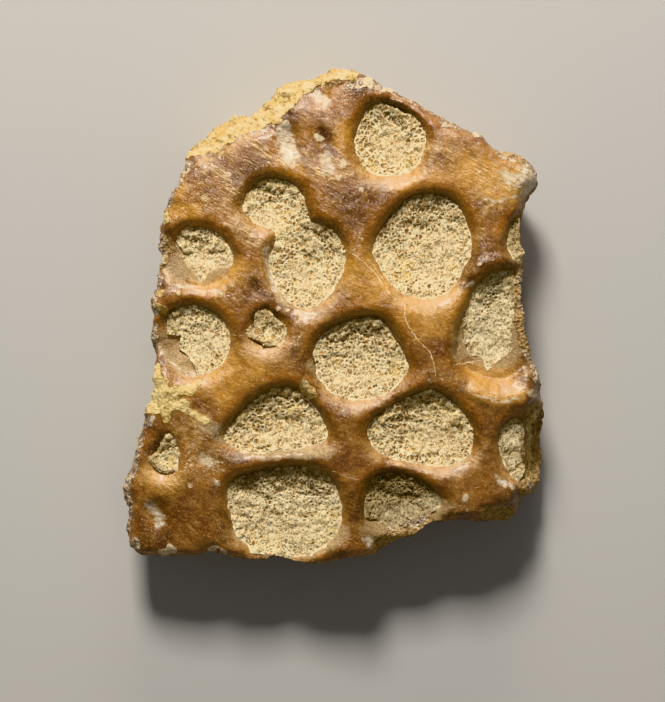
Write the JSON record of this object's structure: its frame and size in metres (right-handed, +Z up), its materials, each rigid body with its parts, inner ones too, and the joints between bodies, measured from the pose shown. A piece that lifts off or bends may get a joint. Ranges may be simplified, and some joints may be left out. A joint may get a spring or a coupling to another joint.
{
  "type": "fossil crocodile scute",
  "caption": "Broken plate of polished brown fossil bone, a net of rounded ridges round deep pits that hold plugs of sandy matrix, lying on its flat underside.",
  "frame": {"origin": "under the middle of the plate's box, on the flat underside", "axes": "+Z up through the pitted top, +Y along the length towards the pointed end, +X across to the right"},
  "size_m": [0.0386, 0.045, 0.0091],
  "materials": {
    "bone": "mineralised amber-brown bone with a lacquer-like gloss",
    "matrix": "dull cream-yellow cemented sand with open pores"
  },
  "bodies": {
    "root": {"scute_bone": "bone", "matrix_top_pit": "matrix", "matrix_twin_pit": "matrix", "matrix_large_pit": "matrix", "matrix_upper_left_pit": "matrix", "matrix_left_pit": "matrix", "matrix_small_pit": "matrix", "matrix_middle_pit": "matrix", "matrix_right_pit": "matrix", "matrix_notch": "matrix", "matrix_half_moon_pit": "matrix", "matrix_lower_right_pit": "matrix", "matrix_bottom_left_pit": "matrix", "matrix_bottom_right_pit": "matrix", "matrix_edge_pit": "matrix", "matrix_corner_pit": "matrix"}
  },
  "joints": []
}
